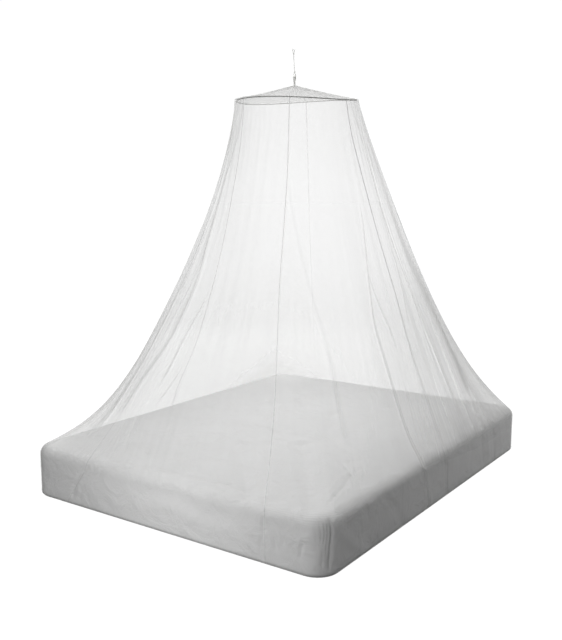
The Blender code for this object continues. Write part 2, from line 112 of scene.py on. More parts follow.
# Creases of the fitted sheet by face, each along a line: on "top" by x and y, on "foot" by x and z, on
# "right" by y and z, and round the near "corner" by the angle, in degrees, and z
Crease = namedtuple("Crease", "half_width height line")
CREASES = {
    "top": (
        Crease(0.030, 0.0028, ((-0.42, -0.985), (-0.188, -0.965), (0.0, -0.950), (0.165, -0.938),
                               (0.37, -0.937), (0.60, -0.935))),
        Crease(0.022, -0.0038, ((-0.36, -0.955), (-0.15, -0.935), (0.03, -0.918), (0.2, -0.91),
                                (0.38, -0.905))),
        Crease(0.018, -0.0070, ((0.486, -0.380), (0.560, -0.445), (0.623, -0.512))),
        Crease(0.016, -0.0045, ((0.623, -0.512), (0.618, -0.453))),
        Crease(0.018, -0.0062, ((0.623, -0.512), (0.659, -0.622), (0.683, -0.717), (0.712, -0.816))),
        Crease(0.018, 0.0028, ((0.600, -0.560), (0.632, -0.660), (0.655, -0.760))),
        Crease(0.070, -0.0120, ((0.213, -0.278), (0.476, -0.615), (0.687, -0.884))),
        Crease(0.055, -0.0090, ((-0.018, -0.439), (0.261, -0.765), (0.431, -0.97))),
        Crease(0.055, -0.0070, ((-0.27, -0.50), (-0.09, -0.74), (0.05, -0.86))),
        Crease(0.060, 0.0030, ((-0.364, -0.68), (-0.179, -0.827), (-0.029, -0.95))),
        Crease(0.060, 0.0030, ((-0.319, -0.336), (-0.138, -0.655), (-0.022, -0.884))),
        Crease(0.065, -0.0090, ((0.05, 0.30), (0.22, -0.05), (0.50, -0.25), (0.74, -0.36))),
    ),
    "foot": (
        Crease(0.020, -0.0050, ((-0.426, 0.200), (-0.470, 0.165), (-0.505, 0.12), (-0.530, 0.05))),
        Crease(0.016, -0.0040, ((-0.376, 0.200), (-0.420, 0.160), (-0.455, 0.12), (-0.482, 0.05))),
        Crease(0.013, -0.0060, ((0.529, 0.185), (0.524, 0.125), (0.514, 0.064))),
        Crease(0.013, -0.0058, ((0.552, 0.172), (0.570, 0.129), (0.588, 0.078))),
        Crease(0.012, -0.0050, ((0.570, 0.184), (0.602, 0.152), (0.620, 0.11))),
        Crease(0.014, -0.0060, ((0.470, 0.095), (0.505, 0.061), (0.523, 0.022))),
        Crease(0.050, 0.0030, ((-0.25, 0.07), (0.05, 0.12), (0.30, 0.085))),
        Crease(0.045, -0.0046, ((-0.15, 0.16), (0.10, 0.175), (0.36, 0.14))),
        Crease(0.013, -0.0055, ((0.704, 0.131), (0.691, 0.081))),
    ),
    "corner": (
        Crease(0.009, -0.0014, ((-62.0, 0.185), (-58.0, 0.15), (-60.0, 0.12))),
        Crease(0.007, -0.0016, ((-52.0, 0.205), (-48.0, 0.175), (-50.0, 0.14))),
        Crease(0.008, -0.0015, ((-46.5, 0.12), (-45.0, 0.09), (-47.5, 0.05))),
        Crease(0.007, -0.0022, ((-43.0, 0.212), (-40.0, 0.18), (-43.5, 0.13))),
        Crease(0.006, -0.0020, ((-35.0, 0.205), (-33.5, 0.16), (-38.0, 0.12), (-36.0, 0.10))),
        Crease(0.009, -0.0046, ((-28.0, 0.222), (-24.0, 0.165), (-28.5, 0.10), (-30.0, 0.04))),
        Crease(0.017, 0.0034, ((-17.0, 0.21), (-14.0, 0.14), (-18.0, 0.07))),
    ),
    "right": (
        Crease(0.034, 0.0035, ((-0.888, 0.150), (-0.813, 0.095), (-0.735, 0.035), (-0.70, 0.02))),
        Crease(0.024, -0.0065, ((0.030, 0.200), (0.056, 0.094), (0.062, 0.015))),
        Crease(0.026, 0.0035, ((-0.189, 0.215), (-0.142, 0.118), (-0.113, 0.015))),
        Crease(0.040, -0.0049, ((-0.55, 0.19), (-0.45, 0.10), (-0.38, 0.02))),
        Crease(0.030, -0.0053, ((0.486, 0.185), (0.505, 0.10), (0.525, 0.029))),
        Crease(0.030, 0.0032, ((0.56, 0.19), (0.58, 0.10), (0.60, 0.03))),
        Crease(0.030, -0.0053, ((0.638, 0.18), (0.66, 0.10), (0.683, 0.024))),
        Crease(0.026, 0.0030, ((0.74, 0.18), (0.76, 0.10), (0.77, 0.03))),
    ),
}
CREASE_REACH = 0.03
CORNER_OVERLAP = 0.01

# Faint swells all over the top of the sheet, 0.3 to 0.4 m apart
SWELL_HEIGHT = 0.0012
SWELL_SINK = 0.0004

# Grid of a wall panel: columns from seam to seam, and rows for each part of the path down
Part = namedtuple("Part", "name rows crowding")
NET_PARTS = (
    Part("wall", 130, 1.25),
    Part("edge", 10, 1.0),
    Part("side", 16, 1.0),
    Part("turn", 6, 1.0),
    Part("tuck", 4, 1.0),
)
PANEL_COLUMNS = 200
GORE_ROWS = 30

# The seams, as pairs of height and azimuth. Heights run from 0 at the hoop, through 1 at the mattress edge,
# to 2 under the mattress
SEAMS = (
    ((0.0, -111.0), (0.09, -108.5), (0.23, -109.0), (0.40, -104.7), (0.49, -102.0), (0.56, -102.6),
     (0.67, -105.0), (0.80, -112.0), (0.95, -114.2), (1.0, -113.4), (1.25, -113.2), (1.5, -119.0),
     (2.0, -120.5)),
    ((0.0, -62.0), (0.2, -61.3), (0.5, -62.4), (0.8, -61.6), (1.0, -62.0), (1.5, -61.8), (2.0, -61.5)),
    ((0.0, -6.0), (0.09, -5.6), (0.17, -3.3), (0.27, -1.4), (0.37, -0.4), (0.47, 0.9), (0.545, 1.6),
     (0.65, 0.7), (0.73, 0.4), (0.81, 1.5), (1.0, 2.6), (1.5, 4.6), (2.0, 5.2)),
    ((0.0, 61.0), (0.14, 65.2), (0.34, 68.5), (0.63, 66.8), (0.96, 68.0), (2.0, 68.0)),
    ((0.0, 114.0), (0.14, 114.6), (0.39, 115.9), (1.0, 117.0), (2.0, 117.0)),
    ((0.0, 186.0), (0.26, 188.0), (0.5, 185.6), (0.76, 183.2), (0.93, 185.4), (0.99, 183.4), (1.5, 184.0),
     (2.0, 184.0)),
)
LINE_SOFTENING = 0.03

# Folds that run down the wall: a ridge over a line like a seam's, where the cloth bunches and looks denser.
# Half widths are in degrees, and the bunched stretch is narrower than the ridge
Fold = namedtuple("Fold", "half_width height bunching start end line")
FOLDS = (
    Fold(1.4, 0.004, 0.8, 0.28, 1.6, ((0.30, -12.0), (0.39, -14.9), (0.485, -18.9), (0.62, -22.6),
                                      (0.715, -20.8), (0.82, -19.6), (0.90, -18.5), (1.0, -13.8),
                                      (1.5, -10.7), (2.0, -8.0))),
    Fold(1.1, 0.003, 0.7, 0.46, 0.72, ((0.45, -19.5), (0.50, -18.4), (0.556, -16.4), (0.644, -11.5),
                                       (0.75, -9.0))),
    Fold(1.6, 0.004, 0.3, 0.22, 0.90, ((0.20, -61.0), (0.28, -59.4), (0.43, -54.1), (0.55, -49.8),
                                       (0.65, -46.3), (0.72, -45.2), (0.9, -43.5), (1.0, -43.0))),
    Fold(1.6, 0.004, 0.8, 0.58, 0.92, ((0.55, 186.5), (0.62, 187.5), (0.667, 191.5), (0.743, 195.0),
                                       (0.825, 196.0), (0.90, 198.0))),
    Fold(1.2, 0.003, 0.7, 0.84, 0.99, ((0.85, 187.5), (0.888, 188.5), (0.917, 190.8), (0.954, 192.8),
                                       (1.0, 196.0))),
    Fold(1.2, 0.003, 0.6, 0.32, 0.75, ((0.30, 204.0), (0.39, 205.6), (0.47, 204.5), (0.52, 206.1),
                                       (0.575, 207.3), (0.63, 209.7), (0.70, 211.3))),
    Fold(1.9, 0.004, 0.7, 0.32, 0.97, ((0.30, -108.5), (0.40, -110.6), (0.50, -111.3), (0.556, -113.1),
                                       (0.622, -115.1), (0.694, -116.4), (0.77, -118.1), (0.85, -118.8),
                                       (1.0, -119.5))),
    Fold(2.4, 0.004, 0.65, 0.16, 0.90, ((0.15, -108.8), (0.23, -109.0), (0.40, -104.7), (0.49, -102.0),
                                        (0.56, -102.6), (0.67, -105.0), (0.80, -112.0), (0.95, -115.0))),
    Fold(2.4, 0.004, 0.4, 0.32, 0.95, ((0.30, -122.0), (0.60, -125.5), (0.90, -126.5))),
    Fold(9.0, 0.003, 0.60, 0.02, 0.90, ((0.05, 24.0), (0.24, 26.0), (0.42, 27.0), (0.55, 31.0),
                                        (0.66, 33.0), (0.77, 35.0), (0.88, 34.5), (1.0, 34.0))),
    Fold(1.0, 0.003, 0.6, 0.42, 0.66, ((0.40, 12.0), (0.47, 10.8), (0.549, 8.5), (0.604, 6.2),
                                       (0.68, 5.0))),
    Fold(1.0, 0.004, 0.6, 0.06, 0.9, ((0.05, 17.0), (0.30, 15.5), (0.60, 18.0), (0.90, 22.0))),
    Fold(1.5, 0.006, 0.7, 0.03, 0.95, ((0.02, -151.0), (0.30, -146.5), (0.60, -141.0), (1.0, -140.0))),
)
FOLD_FADE = 0.08
BUNCHING_GAIN = 1.6
BUNCHING_NARROWING = 1.6

# How plainly each seam shows at heights down the wall, and on the roof, and how far it lies off the net
SEAM_HEIGHTS = (0.0, 0.15, 0.35, 0.6, 1.0, 2.0)
SEAM_STRENGTHS = (
    (0.5, 0.5, 0.5, 0.55, 0.3, 0.0),
    (0.9, 0.8, 0.75, 0.65, 0.3, 0.0),
    (1.8, 2.2, 2.4, 2.2, 0.6, 0.0),
    (0.6, 0.6, 0.7, 0.8, 0.6, 0.4),
    (0.8, 0.6, 0.35, 0.1, 0.1, 0.1),
    (0.6, 0.6, 0.7, 0.8, 0.6, 0.4),
)
ROOF_SEAM_STRENGTHS = (0.3, 0.5, 0.3, 0.3, 1.2, 0.3)
SEAM_STAND_OFF = 0.0007
SEAM_HALF_ANGLE = 0.002
ROOF_SEAM_STEPS = 40
ROOF_SEAM_START = 5

# Streaks that vary the net's cover, as a noise drawn out down the fall of the cloth
Streaks = namedtuple("Streaks", "per_radian stretch depth detail roughness distortion")
STREAKS = (
    Streaks(34.0, 0.045, 0.34, 2.5, 0.62, 0.15),
    Streaks(8.0, 0.10, 0.22, 1.5, 0.50, 0.0),
)
NOISE_LOW, NOISE_HIGH = 0.3, 0.7

# Meshes of the net as drawn, with the cover beside the threads and on them, and limits of the cover
MESH_PITCH = 0.005
MESH_ROW_SHARE = 0.8
THREAD_WIDTH = 0.0007
THREAD_COVERS = (0.86, 1.35)
MOST_COVER = 0.9
LEAST_FACING = 0.34

# How closely the cloth is gathered at heights down the net and on the roof
GATHER_HEIGHTS = (0.0, 0.08, 0.25, 0.5, 0.75, 1.0, 1.25, 1.5, 1.6, 2.0)
GATHERS = (0.95, 0.90, 0.67, 0.76, 1.22, 1.3, 0.8, 0.55, 2.2, 2.2)
ROOF_GATHER = 2.4
EVEN_FALL = 0.3

# Where the cloth is drawn to a corner: how much more it is gathered there, over which half width and between
# which heights, and the half width of its folding, if any
Drawn = namedtuple("Drawn", "azimuth half_width more creased")
DRAWN_CORNERS = (
    Drawn(-132.0, 42.0, -0.08, 36.0),
    Drawn(32.0, 75.0, 0.62, 54.0),
    Drawn(129.0, 36.0, 0.5, 0.0),
)
DRAWN_FROM, DRAWN_RISE = 0.35, 0.45
DRAWN_TO, DRAWN_FALL = 1.3, 0.3

# Folding is least on the smooth panels, where pleats are lower too, and it ends just below the mattress edge
LEAST_FOLDED = 0.15
FOLDED_TO, FOLDED_FALL = 1.12, 0.18
CALM_PLEATS = 0.25

# Pleats that gather under the hoop and merge into wider ones as the bell spreads
Pleats = namedtuple("Pleats", "count height start rise end fall wander")
PLEATS = (
    Pleats(61, 0.0009, 0.00, 0.05, 0.42, 0.30, 0.9),
    Pleats(37, 0.0022, 0.02, 0.12, 0.72, 0.35, 1.3),
    Pleats(23, 0.0040, 0.15, 0.25, 0.98, 0.30, 1.6),
    Pleats(13, 0.0050, 0.40, 0.30, 1.00, 0.16, 1.8),
)

# Waves round the bell by which the pleats wander and differ in height, so that no two look the same
Wave = namedtuple("Wave", "size count slant phases")
PLEAT_WANDER = (Wave(1.0, 3, 2.3, 1), Wave(0.6, 7, -3.1, 2))
PLEAT_UNEVENNESS = (Wave(0.26, 5, 1.9, 1), Wave(0.22, 11, 0.0, -2))
PLEAT_EVEN_SHARE = 0.62
PLEAT_PHASE = 1.7

# Ripples of the roof, and of the tape that holds the hoop
ROOF_RIPPLES = 64
ROOF_RIPPLE_HEIGHT = 0.0016
ROOF_RIPPLE_FADE = 0.7
CHANNEL_INSET = 0.0055
CHANNEL_RIPPLES = 90
CHANNEL_RIPPLE_HEIGHT = 0.0003
CHANNEL_STEPS = 360
CHANNEL_ROWS = 5

# Hoop: sides of the wire and steps round, and where behind its front run the painted shade on the coat fades
# out
WIRE_SIDES = 16
HOOP_STEPS = 180
FRONT_RUN_SLOPE = -1.73
UNSHADED_FROM, UNSHADED_TO = -0.28, 0.40

# Patterns of the other finishes, counted to the metre, and pitches of the ribs of tape and cord
COAT_MOTTLES = 45.0
SHEET_MOTTLES = 5.0
SHEET_WRINKLES = 9.0
SHEET_WEAVE = 900.0
TAPE_RIB = 0.0012
BRAID_RIB = 0.0016
RIB_SHADE = 0.88
WAVE_TEXTURE_PITCH = 0.314

# Soft lamps: power in watts and size in metres
Lamp = namedtuple("Lamp", "name place power size")
LAMPS = (
    Lamp("overhead", (-0.2, 0.1, 4.6), 165.0, 4.0),
    Lamp("overhead_back", (-0.6, 2.2, 4.2), 68.0, 2.5),
    Lamp("left_back", (-3.6, 2.6, 2.0), 80.0, 2.0),
    Lamp("front_right", (1.1, -4.4, 2.4), 66.0, 1.6),
    Lamp("foot", (0.08, -1.8, 0.3), 3.4, 0.5),
    Lamp("far_right", (3.6, 3.0, 0.9), 50.0, 2.0),
)
LAMP_TARGET = Vector((0.0, 0.0, 0.4))
FLOOR_REACH = 400.0

# Camera: lens and sensor in millimetres, place in metres, turn in degrees, and the layers of net a ray passes
CAMERA_LENS = 46.0
CAMERA_SENSOR = 36.0
CAMERA_PLACE = (2.2448, -3.3457, 1.3539)
CAMERA_TURN = (81.718, 0.0, 34.904)
NET_LAYERS = 48

# Linear black and white, and lengths too short to matter
BLACK = (0.0, 0.0, 0.0, 1.0)
WHITE = (1.0, 1.0, 1.0, 1.0)
TINY = 1e-9
SAME = 1e-6


# ---------------------------------------------------------------- shape of the net


def outline_radius(azimuth, inset, corner_radius=MATTRESS_CORNER_RADIUS):
    """Distances from the centre to the mattress outline, moved in by inset, at azimuths in radians."""
    half_width = MATTRESS_WIDTH / 2 - inset
    half_length = MATTRESS_LENGTH / 2 - inset
    radius = np.maximum(corner_radius - inset, LEAST_CORNER_RADIUS)
    across = np.maximum(np.abs(np.cos(azimuth)), TINY)
    along = np.maximum(np.abs(np.sin(azimuth)), TINY)
    straight_width = half_width - radius
    straight_length = half_length - radius
    middle = across * straight_width + along * straight_length
    inside = np.maximum(middle**2 - straight_width**2 - straight_length**2 + radius**2, 0.0)
    round_radius = middle + np.sqrt(inside)
    on_side = half_width * along <= straight_length * across
    on_end = half_length * across <= straight_width * along
    return np.where(on_side, half_width / across, np.where(on_end, half_length / along, round_radius))


def hoop_height(azimuth):
    """Heights of the hoop's centre line."""
    lean = HOOP_LEAN * np.cos(azimuth - math.radians(HOOP_LEAN_AZIMUTH))
    return HOOP_HEIGHT + lean + HOOP_WARP * np.cos(2 * (azimuth - math.radians(HOOP_WARP_AZIMUTH)))


def edge_point(azimuth, angle):
    """Radii and heights of the sheet round the top edge. The angle is 0 on top, 90 degrees beside."""
    radius = MATTRESS_EDGE_RADIUS + DRAPE_CLEARANCE
    inset = radius * (1 - np.sin(angle)) - DRAPE_CLEARANCE
    return outline_radius(azimuth, inset), MATTRESS_TOP + DRAPE_CLEARANCE - radius * (1 - np.cos(angle))


def spread_powers(azimuth):
    """Powers of the drop for the wall's spread to the softened outline, and on to the true one."""
    slack = np.cos(azimuth - math.radians(SLACK_AZIMUTH))
    spread = SPREAD_POWER + SPREAD_POWER_SLACK * slack + SPREAD_POWER_LENGTHWISE * np.cos(2 * azimuth)
    return spread, CORNER_POWER + CORNER_POWER_SLACK * slack


def contact_angle(azimuth):
    """Where round the top edge the hanging wall meets it."""
    spread_power, corner_power = spread_powers(azimuth)
    soft_radius = outline_radius(azimuth, 0.0, SOFT_CORNER_RADIUS)
    outer_radius = outline_radius(azimuth, 0.0)
    step = 0.0003
    spread_rate = (soft_radius - WALL_TOP_RADIUS) * spread_power + (outer_radius - soft_radius) * corner_power
    squareness = step / (outer_radius - outline_radius(azimuth, step))
    return np.arctan2(hoop_height(azimuth) - MATTRESS_TOP, spread_rate * squareness)


def wall_point(azimuth, share):
    """Radii and heights of the hanging wall at shares of its drop."""
    top = hoop_height(azimuth) + WALL_TOP_RISE
    soft_radius = outline_radius(azimuth, 0.0, SOFT_CORNER_RADIUS)
    end_radius, end_height = edge_point(azimuth, contact_angle(azimuth))
    spread_power, corner_power = spread_powers(azimuth)
    radius = WALL_TOP_RADIUS + (soft_radius - WALL_TOP_RADIUS) * share**spread_power
    radius = radius + (end_radius - soft_radius) * share**corner_power
    return radius, top + (end_height - top) * share


def net_point(azimuth, part, share):
    """Radii and heights of the sheet at a row of a panel."""
    if part == "wall":
        return wall_point(azimuth, share)
    if part == "edge":
        contact = contact_angle(azimuth)
        return edge_point(azimuth, contact + (math.pi / 2 - contact) * share)
    if part == "side":
        radius, top = edge_point(azimuth, math.pi / 2)
        bottom = SHEET_HEIGHT_UNDER + TUCK_TURN_RADIUS
        return radius, top + (bottom - top) * share
    if part == "turn":
        angle = math.pi / 2 * share
        inset = TUCK_TURN_RADIUS * (1 - math.cos(angle)) - DRAPE_CLEARANCE
        height = SHEET_HEIGHT_UNDER + TUCK_TURN_RADIUS * (1 - math.sin(angle))
        return outline_radius(azimuth, inset), np.full_like(azimuth, height)
    start = TUCK_TURN_RADIUS - DRAPE_CLEARANCE
    inset = start + (TUCK_DEPTH - start) * share
    return outline_radius(azimuth, inset), np.full_like(azimuth, SHEET_HEIGHT_UNDER)


def panel_rows():
    """The rows down a panel, as (part, share along that part, height from 0 to 2)."""
    rows = []
    below = len(NET_PARTS) - 1
    for number, part in enumerate(NET_PARTS):
        last = part.rows + (1 if number == below else 0)
        for row in range(last):
            share = 1 - (1 - row / part.rows) ** part.crowding
            rows.append((part.name, share, share if number == 0 else 1 + (number - 1 + share) / below))
    return rows


def azimuth_on(line, height):
    """Azimuth in radians, at a height, of a seam or fold line, softened at its stations."""
    heights, azimuths = zip(*line)
    near = height + LINE_SOFTENING * np.linspace(-1.0, 1.0, 5)
    return math.radians(float(np.interp(near, heights, azimuths).mean()))


def azimuths_across(panel, height, columns):
    """Azimuths at even steps across a panel or gore at a height, from its seam to the next one."""
    start = azimuth_on(SEAMS[panel], height)
    end = azimuth_on(SEAMS[(panel + 1) % len(SEAMS)], height)
    if end < start:
        end += math.tau
    return start + (end - start) * np.linspace(0.0, 1.0, columns + 1)


def turn_from(azimuth, middle):
    """Angles between azimuths and a middle one, without their signs."""
    return np.abs((azimuth - middle + math.pi) % math.tau - math.pi)


def fade(value):
    """A smooth step from 0 at 0 to 1 at 1."""
    value = np.clip(value, 0.0, 1.0)
    return value * value * (3 - 2 * value)


def waves(rows, azimuth, share, phase):
    """The sum of waves round the bell."""
    return sum(wave.size * np.sin(wave.count * azimuth + wave.slant * share + wave.phases * phase)
               for wave in rows)


def pleat_height(azimuth, share):
    """How far the pleats stand out from the wall where they are deepest."""
    height = np.zeros_like(azimuth)
    for number, pleats in enumerate(PLEATS):
        strength = fade((share - pleats.start) / pleats.rise) * fade((pleats.end - share) / pleats.fall)
        phase = number * PLEAT_PHASE
        wander = pleats.wander * waves(PLEAT_WANDER, azimuth, share, phase)
        uneven = PLEAT_EVEN_SHARE + waves(PLEAT_UNEVENNESS, azimuth, share, phase)
        height = height + pleats.height * strength * uneven * np.sin(pleats.count * azimuth + wander)
    return height


def fold_relief(azimuth, height):
    """How far the folds stand out of the net at a height, and how much their cloth bunches."""
    relief = np.zeros_like(azimuth)
    bunching = np.zeros_like(azimuth)
    for fold in FOLDS:
        along = float(fade((height - fold.start) / FOLD_FADE) * fade((fold.end - height) / FOLD_FADE))
        if along > 0:
            across = turn_from(azimuth, azimuth_on(fold.line, height)) / math.radians(fold.half_width)
            relief += fold.height * along * fade(1 - across)
            bunching += fold.bunching * along * fade(1 - BUNCHING_NARROWING * across)
    return relief, bunching


def gathering(azimuth, height):
    """How closely the threads lie at a height, against the flat cloth."""
    level = np.full_like(azimuth, np.interp(height, GATHER_HEIGHTS, GATHERS))
    down = float(fade((height - DRAWN_FROM) / DRAWN_RISE) * fade((DRAWN_TO - height) / DRAWN_FALL))
    for corner in DRAWN_CORNERS:
        across = turn_from(azimuth, math.radians(corner.azimuth)) / math.radians(corner.half_width)
        level = level + corner.more * down * fade(1 - across)
    return level


def folded(azimuth, height):
    """How folded the cloth is: little on the smooth panels, and fully where it is drawn in."""
    level = np.full_like(azimuth, LEAST_FOLDED)
    for corner in DRAWN_CORNERS:
        if corner.creased:
            across = turn_from(azimuth, math.radians(corner.azimuth)) / math.radians(corner.creased)
            level = level + (1 - LEAST_FOLDED) * fade(1 - across)
    return level * float(fade((FOLDED_TO - height) / FOLDED_FALL))


def ring(radius, azimuth, height):
    """Points at radii and heights round the upright axis: a row of x, y and z for each azimuth."""
    places = np.broadcast_arrays(radius * np.cos(azimuth), radius * np.sin(azimuth), height)
    return np.stack(places, axis=1)


def net_row(azimuth, part, share, height, pleat_depth):
    """One row of the net: its points, the same without pleats and folds, and how much its folds bunch."""
    radius, level = net_point(azimuth, part, share)
    relief, bunching = fold_relief(azimuth, height)
    if part == "wall":
        calm = CALM_PLEATS + (1 - CALM_PLEATS) * folded(azimuth, height)
        relief = relief + pleat_height(azimuth, share) * calm * pleat_depth
    elif part in ("turn", "tuck"):
        relief = np.zeros_like(relief)
    return ring(radius + relief, azimuth, level), ring(radius, azimuth, level), bunching


def roof_point(azimuth, out):
    """Points of the roof sheet, from the apex at 0 to the hoop at 1."""
    rim_height = hoop_height(azimuth) + ROOF_LAP_RISE
    rim_radius = WALL_TOP_RADIUS + ROOF_LAP_OUT
    radius = APEX_HOLE_RADIUS + (rim_radius - APEX_HOLE_RADIUS) * out
    height = rim_height + (APEX_HEIGHT - rim_height) * (1 - out) ** ROOF_SAG_POWER
    ripples = np.sin(ROOF_RIPPLES * azimuth + 2 * np.sin(3 * azimuth))
    ripples = ripples * np.sin(math.pi * out) ** ROOF_RIPPLE_FADE
    points = ring(radius, azimuth, height + ROOF_RIPPLE_HEIGHT * ripples)
    points[:, :2] += np.array(APEX_SHIFT) * (1 - out)
    return points


# ---------------------------------------------------------------- small makers


def add_piece(name, data, look):
    """An object for a mesh or a curve, on its body, with its material."""
    data.materials.append(look)
    made = bpy.data.objects.new(name, data)
    bpy.context.scene.collection.objects.link(made)
    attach(made, BODY)
    return made


def finish_mesh(name, bm):
    """A smoothly shaded mesh from a bmesh."""
    mesh = bpy.data.meshes.new(name)
    bm.to_mesh(mesh)
    bm.free()
    mesh.shade_smooth()
    return mesh


def linear(code):
    """Linear RGBA of an sRGB hex colour."""
    values = [int(code.lstrip("#")[start:start + 2], 16) / 255 for start in (0, 2, 4)]
    return (*[v / 12.92 if v <= 0.04045 else ((v + 0.055) / 1.055) ** 2.4 for v in values], 1.0)


def add_node(tree, kind, **settings):
    """A node with its settings. Those named in_ set an input, or link it where the value is an output."""
    node = tree.nodes.new(kind)
    for name, value in settings.items():
        if not name.startswith("in_"):
            setattr(node, name, value)
            continue
        key = name[3:]
        target = node.inputs[int(key) if key.isdigit() else key.replace("_", " ")]
        if isinstance(value, bpy.types.NodeSocket):
            tree.links.new(value, target)
        else:
            target.default_value = value
    return node


def new_material(name):
    """An empty node material and its tree."""
    made = bpy.data.materials.new(name)
    made.use_nodes = True
    made.node_tree.nodes.clear()
    return made, made.node_tree


# ---------------------------------------------------------------- materials


def knitted_net(name, thread_colour, cover):
    """Warp-knitted polyester net. Fine white threads let most of the light and the view through."""
    made, tree = new_material(name)
    cloth = add_node(tree, "ShaderNodeUVMap", uv_map="cloth_metres")
    fall = add_node(tree, "ShaderNodeUVMap", uv_map="fall_lines")
    # Soft streaks follow the fall of the cloth from the hoop to the mattress
    shades = []
    for row in STREAKS:
        drawn_out = add_node(tree, "ShaderNodeMapping", in_Vector=fall.outputs[0],
                             in_Scale=(1.0, row.stretch, 1.0))
        noise = add_node(tree, "ShaderNodeTexNoise", in_Vector=drawn_out.outputs[0], in_Scale=row.per_radian,
                         in_Detail=row.detail, in_Roughness=row.roughness, in_Distortion=row.distortion)
        shades.append(add_node(tree, "ShaderNodeMapRange", in_Value=noise.outputs["Fac"], in_1=NOISE_LOW,
                               in_2=NOISE_HIGH, in_3=1 - row.depth, in_4=1 + row.depth))
    streaky = add_node(tree, "ShaderNodeMath", operation="MULTIPLY",
                       in_0=shades[0].outputs[0], in_1=shades[1].outputs[0])
    creased = add_node(tree, "ShaderNodeAttribute", attribute_name="folded")
    calmed = add_node(tree, "ShaderNodeMix", in_Factor=creased.outputs["Fac"], in_2=1.0,
                      in_3=streaky.outputs[0])
    # Meshes drawn about 5 mm wide, because the real 1.5 mm ones are too fine to show in a view of the net
    meshes = add_node(tree, "ShaderNodeTexBrick", offset=0.5, in_Vector=cloth.outputs[0], in_Scale=1.0,
                      in_Color1=BLACK, in_Color2=BLACK, in_Mortar=WHITE, in_Mortar_Size=THREAD_WIDTH,
                      in_Mortar_Smooth=0.6, in_Brick_Width=MESH_PITCH,
                      in_Row_Height=MESH_PITCH * MESH_ROW_SHARE)
    drawn = add_node(tree, "ShaderNodeMapRange", in_Value=meshes.outputs["Fac"], in_3=THREAD_COVERS[0],
                     in_4=THREAD_COVERS[1])
    bunch = add_node(tree, "ShaderNodeAttribute", attribute_name="bunching")
    covered = calmed
    for factor in (drawn.outputs[0], bunch.outputs["Fac"], cover):
        covered = add_node(tree, "ShaderNodeMath", operation="MULTIPLY", in_0=covered.outputs[0], in_1=factor)
    share = add_node(tree, "ShaderNodeMath", operation="MINIMUM", in_0=covered.outputs[0], in_1=MOST_COVER)
    # Seen edge-on the threads close up, as the same net laid over itself would
    facing = add_node(tree, "ShaderNodeLayerWeight", in_Blend=0.5)
    cosine = add_node(tree, "ShaderNodeMath", operation="SUBTRACT", in_0=1.0, in_1=facing.outputs["Facing"])
    least = add_node(tree, "ShaderNodeMath", operation="MAXIMUM", in_0=cosine.outputs[0], in_1=LEAST_FACING)
    layers = add_node(tree, "ShaderNodeMath", operation="DIVIDE", in_0=1.0, in_1=least.outputs[0])
    open_share = add_node(tree, "ShaderNodeMath", operation="SUBTRACT", in_0=1.0, in_1=share.outputs[0])
    through = add_node(tree, "ShaderNodeMath", operation="POWER", in_0=open_share.outputs[0],
                       in_1=layers.outputs[0])
    threads = add_node(tree, "ShaderNodeBsdfPrincipled", in_Base_Color=linear(thread_colour),
                       in_Roughness=0.6, in_IOR=1.5, in_Specular_IOR_Level=0.2)
    glow = add_node(tree, "ShaderNodeBsdfTranslucent", in_Color=linear(thread_colour))
    lit = add_node(tree, "ShaderNodeMixShader", in_0=0.5, in_1=threads.outputs[0], in_2=glow.outputs[0])
    clear = add_node(tree, "ShaderNodeBsdfTransparent")
    mix = add_node(tree, "ShaderNodeMixShader", in_0=through.outputs[0], in_1=lit.outputs[0],
                   in_2=clear.outputs[0])
    add_node(tree, "ShaderNodeOutputMaterial", in_Surface=mix.outputs[0])
    return made


def coated_wire(name, code, unshaded_code):
    """Spring-steel wire with a matt plastic coat, with painted shade darkening it grey along the front run
    and its own pale colour behind.
    """
    made, tree = new_material(name)
    place = add_node(tree, "ShaderNodeTexCoord")
    axes = add_node(tree, "ShaderNodeSeparateXYZ", in_Vector=place.outputs["Object"])
    # Painted shade: the coat is painted darker along the front run of the hoop, fading to its own colour
    # behind
    behind = add_node(tree, "ShaderNodeMath", operation="MULTIPLY_ADD", in_0=axes.outputs["X"],
                      in_1=FRONT_RUN_SLOPE, in_2=axes.outputs["Y"])
    unshaded_share = add_node(tree, "ShaderNodeMapRange", interpolation_type="SMOOTHSTEP", in_Value=behind.outputs[0],
                     in_1=UNSHADED_FROM, in_2=UNSHADED_TO)
    tint = add_node(tree, "ShaderNodeMix", data_type="RGBA", in_Factor=unshaded_share.outputs[0], in_6=linear(code),
                    in_7=linear(unshaded_code))
    mottle = add_node(tree, "ShaderNodeTexNoise", in_Vector=place.outputs["Object"], in_Scale=COAT_MOTTLES)
    rough = add_node(tree, "ShaderNodeMapRange", in_Value=mottle.outputs["Fac"], in_3=0.35, in_4=0.5)
    surface = add_node(tree, "ShaderNodeBsdfPrincipled", in_Base_Color=tint.outputs[2],
                       in_Roughness=rough.outputs[0], in_IOR=1.46)
    add_node(tree, "ShaderNodeOutputMaterial", in_Surface=surface.outputs[0])
    return made


